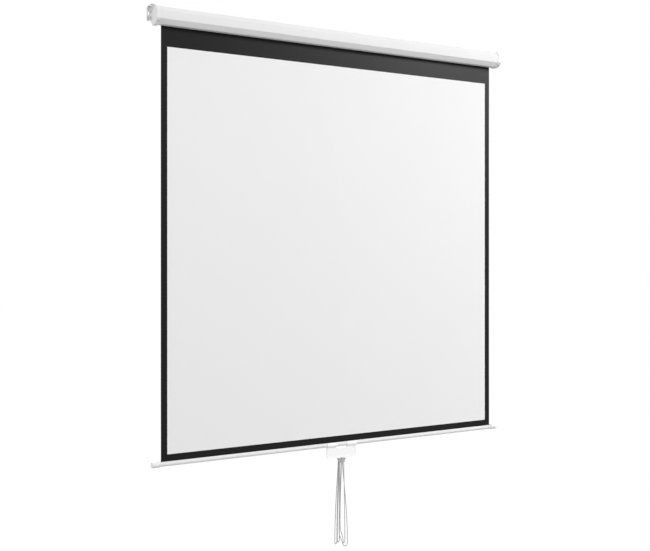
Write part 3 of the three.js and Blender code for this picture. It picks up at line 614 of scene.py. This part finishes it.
# a paler copy of the cap plastic, painted light on the handle
handlePlastic = makeWhitePlastic("handlePlastic", paintedLitHandle)
nylonPlastic = makeWhitePlastic("nylonPlastic", nylon)
zinc = makeZinc("zincPlate", zincPlate)
screwZinc = makeZinc("screwZinc", screwFinish)
steel = makeBareMetal("turnedSteel", turnedSteel)
spring = makeBareMetal("springSteel", springSteel)
aluminium = makeBareMetal("millAluminium", millAluminium)
whiteCloth = makeCloth("viewingCloth", viewingCloth)
darkCloth = makeCloth("blackCloth", blackCloth)
yarn = makeCordYarn(cordYarn)
print("materials made")


# Pull cord: one length of plaited cord, folded into four hanging loops under the handle

pullCord = {
    "radius": 1.6 * mm,
    "ceiling": -7.8 * mm,  # the strands turn back here, inside the knot
    "knotEnd": -18.7 * mm,
    "fold": 9.6 * mm,
    "necks": [  # where each strand leaves the knot
        (-11.1, 6.6), (-7.2, 8.6), (-7.8, 0.6), (-4.6, 4.9),
        (2.4, 5), (4.4, -1.4), (-2.6, -5.4), (5.9, -8.6),
    ],
    "loops": [
        {"x": -21.7, "y": 5.8, "turn": 34, "drop": 337.7},
        {"x": -14.2, "y": -0.9, "turn": 35, "drop": 329.7},
        {"x": 16.8, "y": -0.6, "turn": -20, "drop": 349.7, "sway": (-4.3, 9.5, 300)},
        {"x": 8.6, "y": -6, "turn": 38, "drop": 335.7, "sway": (-7.4, -2.6, 265)},
    ],  # millimetres and degrees; sway is a place (x, y, drop) that the left strand passes
    "haste": 0.7,  # under 1, a strand drifts outward early
    "pinch": 0.9,  # how far the knot draws the strands together
    "strandSteps": 60,
    "swaySteps": 20,
    "foldSteps": 20,
    "pointStep": 1.5 * mm,
}
jointPlaces = {joint["name"]: joint.get("pos_m") for joint in frame["joints"]}
cordPivot = Vector(jointPlaces["cord_hang"])


def loopEnd(cord, loop, side):
    turn = math.radians(loop["turn"])
    reach = side * cord["fold"]
    return mm * loop["x"] + reach * math.cos(turn), mm * loop["y"] + reach * math.sin(turn)


def smoothStep(share):
    return share * share * (3 - 2 * share)


def strand(start, startZ, end, endZ, haste, steps):
    points = []
    for step in range(steps + 1):
        share = step / steps
        drift = smoothStep(share ** haste)
        points.append(Vector((
            start[0] + (end[0] - start[0]) * drift,
            start[1] + (end[1] - start[1]) * drift,
            startZ + (endZ - startZ) * share)))
    return points


def hangingStrand(cord, neck, end, low):
    return strand(neck, cord["knotEnd"], end, low, cord["haste"], cord["strandSteps"])


# A loop that sways hangs to its left at first, and crosses over lower down
def leftStrand(cord, loop, neck, end, low):
    if "sway" not in loop:
        return hangingStrand(cord, neck, end, low)
    x, y, drop = (mm * value for value in loop["sway"])
    return (hangingStrand(cord, neck, (x, y), -drop)[:-1]
            + strand((x, y), -drop, end, low, 1, cord["swaySteps"]))


def halfTurn(start, end, z, rise, steps):
    middle = Vector(((start[0] + end[0]) / 2, (start[1] + end[1]) / 2, z))
    spoke = Vector(((start[0] - end[0]) / 2, (start[1] - end[1]) / 2, 0))
    points = []
    for step in range(1, steps):
        angle = math.pi * step / steps
        point = middle + spoke * math.cos(angle)
        point.z += rise * spoke.length * math.sin(angle)
        points.append(point)
    return points


def cordRoute(cord):
    necks = [(mm * x, mm * y) for x, y in cord["necks"]]
    pinched = [(cord["pinch"] * x, cord["pinch"] * y) for x, y in necks]
    points = [Vector((*pinched[0], cord["ceiling"]))]
    for i, loop in enumerate(cord["loops"]):
        down, up = necks[2 * i], necks[2 * i + 1]
        left, right = loopEnd(cord, loop, -1), loopEnd(cord, loop, 1)
        low = cord["fold"] - mm * loop["drop"]
        points += leftStrand(cord, loop, down, left, low)
        points += halfTurn(left, right, low, -1, cord["foldSteps"])
        points += hangingStrand(cord, up, right, low)[::-1]
        if i + 1 < len(cord["loops"]):
            start, end = pinched[2 * i + 1], pinched[2 * i + 2]
            radius = math.dist(start, end) / 2
            points += halfTurn(start, end, cord["ceiling"] - cord["radius"] - radius, 1, cord["foldSteps"])
    points.append(Vector((*pinched[-1], cord["ceiling"])))
    return [cordPivot + point for point in evened(points, cord["pointStep"])]


cordKnot = {
    "wrapHalfWidth": 12.5 * mm,
    "wrapHalfDepth": 11.0 * mm,
    "wrapTop": -7.6 * mm,
    "wrapTurns": 2.7,
    "wrapSteps": 36,  # in a turn
    "wrapPitch": 3.3 * mm,
    "wrapSquareness": 0.12,  # a little boxier than an ellipse
    "earRoute": [
        (5.0, 0.7, -10.5), (4.9, 0.8, -6.8), (7.6, 1.0, -3.9), (12.0, 1.0, -2.1), (15.4, 1.0, -2.4),
        (15.8, 0.9, -4.6), (12.8, 0.7, -6.8), (9.6, 0.6, -8.8), (8.0, 0.5, -11.5),
    ],  # millimetres from the knot's pivot, y as a share of earSpread
    "earSpread": 4.4,
    "earSteps": 6,
    "bellyHalfWidth": 7.6 * mm,
    "bellyHalfDepth": 8.6 * mm,
    "bellyPlace": -4.9 * mm,
    "bellySteps": 44,  # in its one turn
    "bellyStart": 0.6,  # radians
    "bellyTilt": 1.6 * mm,
    "bellyTiltAngle": 0.8,  # radians
    "bellySink": 0.03 * mm,  # at each step
}


def knotWrap(knot):
    points = []
    turnSteps = knot["wrapSteps"]
    for step in range(int(turnSteps * knot["wrapTurns"]) + 1):
        angle = 2 * math.pi * step / turnSteps
        cosine, sine = math.cos(angle), math.sin(angle)
        boxiness = (cosine ** 4 + sine ** 4) ** -knot["wrapSquareness"]
        points.append(cordPivot + Vector((
            knot["wrapHalfWidth"] * cosine * boxiness,
            knot["wrapHalfDepth"] * sine * boxiness,
            knot["wrapTop"] - knot["wrapPitch"] * step / turnSteps)))
    return points


def knotBelly(knot):
    points = []
    turnSteps = knot["bellySteps"]
    for step in range(turnSteps + 2):  # its end goes one step past its start
        angle = 2 * math.pi * step / turnSteps + knot["bellyStart"]
        height = knot["bellyPlace"] + knot["bellyTilt"] * math.sin(angle + knot["bellyTiltAngle"])
        points.append(cordPivot + Vector((
            knot["bellyHalfWidth"] * math.cos(angle),
            knot["bellyHalfDepth"] * math.sin(angle),
            height - knot["bellySink"] * step)))
    return points


def knotEar(knot, side, depth):
    spread = depth * knot["earSpread"]
    route = [cordPivot + mm * Vector((side * x, spread * y, z)) for x, y, z in knot["earRoute"]]
    return smoothLine(route, knot["earSteps"])


def joinPieces(name, pieces):
    with bpy.context.temp_override(active_object=pieces[0], selected_editable_objects=pieces):
        bpy.ops.object.join()
    pieces[0].name = name
    return pieces[0]


cordPoints = cordRoute(pullCord)
cordPiece = dress(tube("pullCordLoops", cordPoints, pullCord["radius"]),
                  "cord", yarn, "cord_yarn", "pull_cord")
knotTubes = [tube("knotWrap", knotWrap(cordKnot), pullCord["radius"]),
             tube("knotBelly", knotBelly(cordKnot), pullCord["radius"])]
for side in (-1, 1):
    for depth in (-1, 1):
        knotTubes.append(tube("knotEar", knotEar(cordKnot, side, depth), pullCord["radius"]))
knotPiece = dress(joinPieces("cordKnotTurns", knotTubes), "cord", yarn, "cord_yarn", "cord_knot")

# Two strands between the handle and the knot bend as the handle swings
cordNeck = {
    "halfSpacing": 1.8,
    "heights": (2.6, 0, -3, -6, -10),  # millimetres from the knot's pivot
    "bendTop": Vector((0, 0, 2.3 * mm)),
    "bendFoot": Vector((0, 0, -4 * mm)),
}
neckTubes = []
for x in (-cordNeck["halfSpacing"], cordNeck["halfSpacing"]):
    neckLine = smoothLine([cordPivot + mm * Vector((x, 0, z)) for z in cordNeck["heights"]])
    neckTubes.append(tube("cordNeck", neckLine, pullCord["radius"]))
neckPiece = joinPieces("cordNeck", neckTubes)
neckPiece.data.materials.append(yarn)
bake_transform(neckPiece, "handle", "cord",
         start=cordPivot + cordNeck["bendTop"], end=cordPivot + cordNeck["bendFoot"])


# Case: one strip of steel bent to eight sides, with a lip along each side of its slot

caseSteel = {
    "thickness": 1.0 * mm,
    "chamfer": 17 * mm,
    "bend": 2.5 * mm,
    "slot": 6 * mm,
    "lip": 4 * mm,
    "lipBend": 0.8 * mm,
}
sheetY = jointPlaces["handle_swing"][1]


def makeCase(steelStrip):
    low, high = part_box("case_shell")
    half = steelStrip["thickness"] / 2
    bend, lipBend = steelStrip["bend"], steelStrip["lipBend"]
    front, rear = low.y + half, high.y - half
    bottom, top = low.z + half, high.z - half
    cut = steelStrip["chamfer"] - half * (2 - math.sqrt(2))
    frontLip, rearLip = (sheetY + side * (steelStrip["slot"] / 2 + half) for side in (-1, 1))
    lipTop = low.z + steelStrip["lip"]
    path = bentPath([
        (frontLip, lipTop, 0), (frontLip, bottom, lipBend), (front + cut, bottom, bend),
        (front, bottom + cut, bend), (front, top - cut, bend), (front + cut, top, bend),
        (rear - cut, top, bend), (rear, top - cut, bend), (rear, bottom + cut, bend),
        (rearLip, bottom + rearLip - (rear - cut), lipBend), (rearLip, lipTop, 0),
    ])
    outline = stripOutline(path, steelStrip["thickness"])
    vertices, faces = sweepX(outline, (low.x, high.x))
    return linkMesh("caseHousing", vertices, faces)


dress(makeCase(caseSteel), "case", paint, "white_paint", "case_shell")

edgeRounding = {
    "cap": 0.5 * mm,
    "bracket": 0.35 * mm,
    "screw": 0.15 * mm,
    "handle": 0.5 * mm,
}
for side in ("left", "right"):
    word = side.capitalize()
    dress(softened(f"end_cap_{side}", f"endCap{word}", edgeRounding["cap"]),
          "case", capPlastic, "white_plastic", f"end_cap_{side}")
    dress(softened(f"hanger_bracket_{side}", f"hangerBracket{word}", edgeRounding["bracket"]),
          "case", zinc, "zinc_plate", f"hanger_bracket_{side}")
    for kind, places in (("cap_screw", ("front", "rear")), ("bracket_screw", ("upper", "lower"))):
        for place in places:
            node = f"{kind}_{side}_{place}"
            first, *others = node.split("_")
            name = first + "".join(other.capitalize() for other in others)
            dress(softened(node, name, edgeRounding["screw"]), "case", screwZinc, "zinc_plate", node)
print("case dressed")


# Screen cloth: a hanging sheet with a hem round the rod in the bar, and the turns left on the roller

screenCloth = {
    "thickness": 0.5 * mm,
    "gridStep": 14 * mm,
    "rippleHeight": 0.4 * mm,
    "rippleWidth": 0.42,
    "rippleWander": {"angle": 1.1, "pace": 1.7},
    "crossRipple": {"share": 0.5, "pace": 2.3, "lean": 2.0, "start": 0.7},
    "edgeCurl": 0.8 * mm,  # towards the back
    "edgeCurlReach": 28 * mm,
    "calmTop": -0.07,  # above this height and below calmBottom, the cloth is flat
    "calmBottom": -1.57,
    "easing": 0.3,
    "hemLeg": 12 * mm,  # the welded part, above the rod
    "hemGap": 1.5 * mm,
    "hemRound": 20 * mm,  # the length of cloth round the rod
}


# Even steps from first to last that make way for the exact places
def gridLines(first, last, step, exact):
    lines = np.linspace(first, last, round((last - first) / step) + 1)
    lines = [line for line in lines if all(abs(line - place) > step / 3 for place in exact)]
    return np.array(sorted([*lines, *exact]))


def clothOffset(cloth, x, z, half):
    rise = min(max((cloth["calmTop"] - z) / cloth["easing"], 0), 1)
    fall = min(max((z - cloth["calmBottom"]) / cloth["easing"], 0), 1)
    free = smoothStep(rise) * smoothStep(fall)
    wander, cross = cloth["rippleWander"], cloth["crossRipple"]
    phase = 2 * math.pi * x / cloth["rippleWidth"]
    ripple = math.sin(phase + wander["angle"] * math.sin(wander["pace"] * z))
    ripple += cross["share"] * math.sin(cross["pace"] * phase + cross["lean"] * z + cross["start"])
    curl = math.exp((abs(x) - half) / cloth["edgeCurlReach"])
    return free * (cloth["rippleHeight"] * ripple / (1 + cross["share"]) + cloth["edgeCurl"] * curl)


# The hem's two sides are welded from hemNeck up to hemTop
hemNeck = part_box("hem_rod")[1].z + screenCloth["hemGap"]
hemTop = hemNeck + screenCloth["hemLeg"]


def makeSheet(cloth):
    low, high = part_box("screen_fabric")
    pictureLow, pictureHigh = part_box("viewing_surface")
    step = cloth["gridStep"]
    xs = gridLines(low.x, high.x, step, (pictureLow.x, pictureHigh.x, low.x, high.x))
    zs = gridLines(hemTop, high.z, step, (pictureLow.z, pictureHigh.z, hemTop, high.z))
    vertices, faces, black = [], [], []
    for face in (-1, 1):
        for z in zs:
            for x in xs:
                y = sheetY + clothOffset(cloth, x, z, high.x) + face * cloth["thickness"] / 2
                vertices.append((x, y, z))
    columns, rows = len(xs), len(zs)
    back = columns * rows
    slack = 1 * mm  # the picture starts and ends at grid lines
    for row in range(rows - 1):
        for column in range(columns - 1):
            a = row * columns + column
            quad = (a, a + 1, a + columns + 1, a + columns)
            inside = (pictureLow.x - slack < xs[column] < pictureHigh.x - slack
                      and pictureLow.z - slack < zs[row] < pictureHigh.z - slack)
            faces.append(quad)
            black.append(not inside)
            faces.append(tuple(back + i for i in reversed(quad)))
            black.append(True)
    rim = ([*range(columns)] + [row * columns + columns - 1 for row in range(1, rows)]
           + [(rows - 1) * columns + i for i in range(columns - 2, -1, -1)]
           + [row * columns for row in range(rows - 2, 0, -1)])
    for a, b in zip(rim, rim[1:] + rim[:1]):
        faces.append((b, a, back + a, back + b))
        black.append(True)
    piece = linkMesh("screenSheet", vertices, faces, bendAngle)
    piece.data.materials.append(whiteCloth)
    piece.data.materials.append(darkCloth)
    for face, isBlack in zip(piece.data.polygons, black):
        face.material_index = int(isBlack)
    return piece


hemPocket = {
    "play": 0.3 * mm,  # between the rod and the cloth
    "joinAngle": 62,  # degrees, where the ring round the rod ends on each side
    "ringSteps": 36,
    "weld": 0.05 * mm,
    "shoulder": 0.4 * mm,
    "smoothing": 3,
}


# The cloth passes round the rod in the bar and is welded to itself above it
def makeHem(cloth, hem):
    low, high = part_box("hem_rod")
    centre = (sheetY, (low.z + high.z) / 2)
    radius = (high.z - low.z) / 2 + hem["play"] + cloth["thickness"] / 2
    ring = arc(centre, radius, hem["joinAngle"], -180 - hem["joinAngle"], hem["ringSteps"])
    rear = sheetY + cloth["thickness"] + hem["weld"]
    path = [(rear, hemTop), (rear, hemNeck), *ring,
            (sheetY, hemNeck - hem["shoulder"]), (sheetY, hemNeck), (sheetY, hemTop)]
    path = smoothLine([(y, z, 0) for y, z in path], hem["smoothing"])
    outline = stripOutline([(p.x, p.y) for p in path], cloth["thickness"])
    vertices, faces = sweepX(outline, (low.x, high.x))
    return linkMesh("hemPocket", vertices, faces, bendAngle)


rolledCloth = {
    "turns": 1.4,
    "turnSteps": 64,
    "inset": 0.22 * mm,
    "pitch": 0.42 * mm,
    "thickness": 0.34 * mm,
}


def makeRoll(roll):
    low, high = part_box("fabric_roll")
    centre = ((low.y + high.y) / 2, (low.z + high.z) / 2)
    outer = (high.z - low.z) / 2 - roll["inset"]
    path = []
    for step in range(int(roll["turns"] * roll["turnSteps"]) + 1):
        angle = -2 * math.pi * step / roll["turnSteps"]
        radius = outer - roll["pitch"] * step / roll["turnSteps"]
        path.append((centre[0] + radius * math.cos(angle), centre[1] + radius * math.sin(angle)))
    outline = stripOutline(path, roll["thickness"])
    vertices, faces = sweepX(outline, (low.x, high.x))
    return linkMesh("rolledTurns", vertices, faces, bendAngle)


sheetPiece = makeSheet(screenCloth)
hemPiece = dress(makeHem(screenCloth, hemPocket), "screen_bar", darkCloth, "black_fabric")
dress(makeRoll(rolledCloth), "roller", darkCloth, "black_fabric", "fabric_roll")
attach(sheetPiece, "case")
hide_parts("screen_fabric", "viewing_surface")
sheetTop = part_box("screen_fabric")[1].z
travel = max(next(joint["range_m"] for joint in frame["joints"] if joint["name"] == "screen_travel"))
1 - travel / (sheetTop - hemTop)
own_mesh(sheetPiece)  # the sheet gets a mesh of its own
print("cloth hung")


# Bottom bar with its caps and the pull handle

barTube = {
    "wall": 1.2 * mm,
    "steps": 90,
    "slot": 3 * mm,
    "slotEase": 0.1 * mm,  # on each side
}


def makeBar(bar):
    low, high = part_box("bottom_bar")
    centre = ((low.y + high.y) / 2, (low.z + high.z) / 2)
    radius = (high.y - low.y) / 2 - bar["wall"] / 2
    opening = math.degrees(math.asin((bar["slot"] / 2 + bar["slotEase"]) / radius))
    ring = arc(centre, radius, 90 + opening, 450 - opening, bar["steps"])
    vertices, faces = sweepX(stripOutline(ring, bar["wall"]), (low.x, high.x))
    return linkMesh("bottomBar", vertices, faces)


barCap = {
    "wall": 1.7 * mm,
    "gap": 0.3 * mm,  # between the bar's end and the cap's floor
    "outerRound": 3 * mm,
    "lipRound": 0.5 * mm,
    "faceRing": 0.35,  # share of the radius
    "leastRadius": 0.01 * mm,
    "sharpAngle": 40,
}


def makeBarCap(cap, side):
    low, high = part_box(f"bar_cap_{side}")
    barLow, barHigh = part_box("bottom_bar")
    centre = ((low.y + high.y) / 2, (low.z + high.z) / 2)
    outer = (high.y - low.y) / 2
    bore = outer - cap["wall"]
    length = high.x - low.x
    floor = (high.x - barHigh.x if side == "right" else barLow.x - low.x) - cap["gap"]
    lip, turn = cap["lipRound"], cap["outerRound"]
    profile = [(0, length - floor), (bore, length - floor), (bore, lip)]
    profile += [(bore + lip - lip * math.cos(a), lip - lip * math.sin(a)) for a in np.radians((30, 60, 90))]
    profile += [(outer - lip + lip * math.sin(a), lip - lip * math.cos(a))
                for a in np.radians((0, 30, 60, 90))]
    profile += [(outer - turn + turn * math.cos(a), length - turn + turn * math.sin(a))
                for a in np.radians(np.linspace(0, 90, 9))]
    profile += [(cap["faceRing"] * outer, length), (0, length)]
    start, sign = (low.x, 1) if side == "right" else (high.x, -1)
    profile = [(max(radius, cap["leastRadius"]), start + sign * x) for radius, x in profile]
    vertices, faces = turned(profile, centre)
    return linkMesh(f"barCap{side.capitalize()}", vertices, faces, cap["sharpAngle"])


dress(makeBar(barTube), "screen_bar", paint, "white_paint", "bottom_bar")
for side in ("left", "right"):
    dress(makeBarCap(barCap, side), "screen_bar", capPlastic, "white_plastic", f"bar_cap_{side}")
handlePiece = dress(softened("pull_handle", "pullHandle", edgeRounding["handle"]), "handle", handlePlastic,
                    "white_plastic", "pull_handle")
print("bar and handle dressed")


# Pieces inside the case and the bar keep their CAD shapes

innerFinishes = [
    (aluminium, ["roller_tube"]),
    (nylonPlastic, ["idler_plug", "idler_bush", "ratchet_plug", "spring_anchor", "hem_rod"]),
    (steel, ["idler_pin", "ratchet_wheel", "spring_shaft", "shaft_socket",
             "pawl_pin_upper", "pawl_pin_lower", "pawl_upper", "pawl_lower"]),
    (spring, ["lift_spring"]),
]
for finish, nodes in innerFinishes:
    for node in nodes:
        slots = frame["nodes"][node].data.materials
        slots.clear()
        slots.append(finish)
print("inner pieces finished")


# Studio

studio = {
    "floorHeight": -2.6,
    "floorSize": 60.0,
    "floorColour": grey(0.43),
    "floorShown": 0.93,
    "floorGlow": 1.06,
    "worldStrength": 0.55,
}
studioLights = {  # each one aims at a height on the line where x and y are 0
    "keyLight": {"place": (4.05, -3.85, 1.8), "aim": -0.7, "size": (2.0, 1.4), "power": 196.0},
    "fillLight": {"place": (-6.2, -2.8, 0.5), "aim": -0.8, "size": (3.0, 3.0), "power": 126.0},
    "topLight": {"place": (0.0, -3.0, 4.4), "aim": -0.8, "size": (3.0, 3.0), "power": 6.0},
    "backLight": {"place": (0.6, 4.6, 1.9), "aim": -0.6, "size": (3.6, 2.0), "power": 120.0},
    "handleLight": {"place": (-0.9, -2.6, -1.2), "aim": -1.62, "size": (0.8, 0.8), "power": 8.0},
}


# 1 where the floor or the sky is seen or mirrored, and 0 where it only lights the pieces
def seenShare(board):
    kinds = ("Is Camera Ray", "Is Glossy Ray", "Is Transmission Ray")
    straight, mirrored, through = [board.add("LightPath", output=kind) for kind in kinds]
    return board.sums("MINIMUM", straight + mirrored + through, 1.0)


def makeFloor(look):
    half = look["floorSize"] / 2
    z = look["floorHeight"]
    corners = [(-half, -half, z), (half, -half, z), (half, half, z), (-half, half, z)]
    floor = linkMesh("studioFloor", corners, [(0, 1, 2, 3)])
    material, board = newMaterial("studioFloor")
    shown = seenShare(board) * look["floorShown"]
    matt = board.add("BsdfDiffuse", {}, {"Color": look["floorColour"]})
    bright = board.add("Emission", {}, {"Color": grey(1.0), "Strength": look["floorGlow"]})
    mixed = board.add("MixShader", {}, {0: shown, 1: matt, 2: bright})
    under = board.add("NewGeometry", output="Backfacing")
    clearAir = board.add("BsdfTransparent")
    oneSided = board.add("MixShader", {}, {0: under, 1: mixed, 2: clearAir})  # seen from above only
    board.add("OutputMaterial", {}, {"Surface": oneSided})
    floor.data.materials.append(material)


def makeWorld(look):
    world = bpy.data.worlds.new("studioWorld")
    world.use_nodes = True
    scene.world = world
    board = Board(world.node_tree)
    shown = seenShare(board)
    strength = look["worldStrength"] + shown * (1 - look["worldStrength"])
    sky = board.add("Background", {}, {"Color": grey(1.0), "Strength": strength})
    board.add("OutputWorld", {}, {"Surface": sky})


def makeLight(name, look):
    lamp = bpy.data.lights.new(name, "AREA")
    lamp.shape = "RECTANGLE"
    lamp.size, lamp.size_y = look["size"]
    lamp.energy = look["power"]
    light = bpy.data.objects.new(name, lamp)
    light.location = look["place"]
    direction = Vector((0, 0, look["aim"])) - Vector(look["place"])
    light.rotation_euler = direction.to_track_quat("-Z", "Y").to_euler()
    scene.collection.objects.link(light)
    return light


makeFloor(studio)
makeWorld(studio)
lamps = {name: makeLight(name, look) for name, look in studioLights.items()}
handleOnly = bpy.data.collections.new("handleOnly")
handleOnly.objects.link(handlePiece)
lamps["handleLight"].light_linking.receiver_collection = handleOnly
print("studio lit")
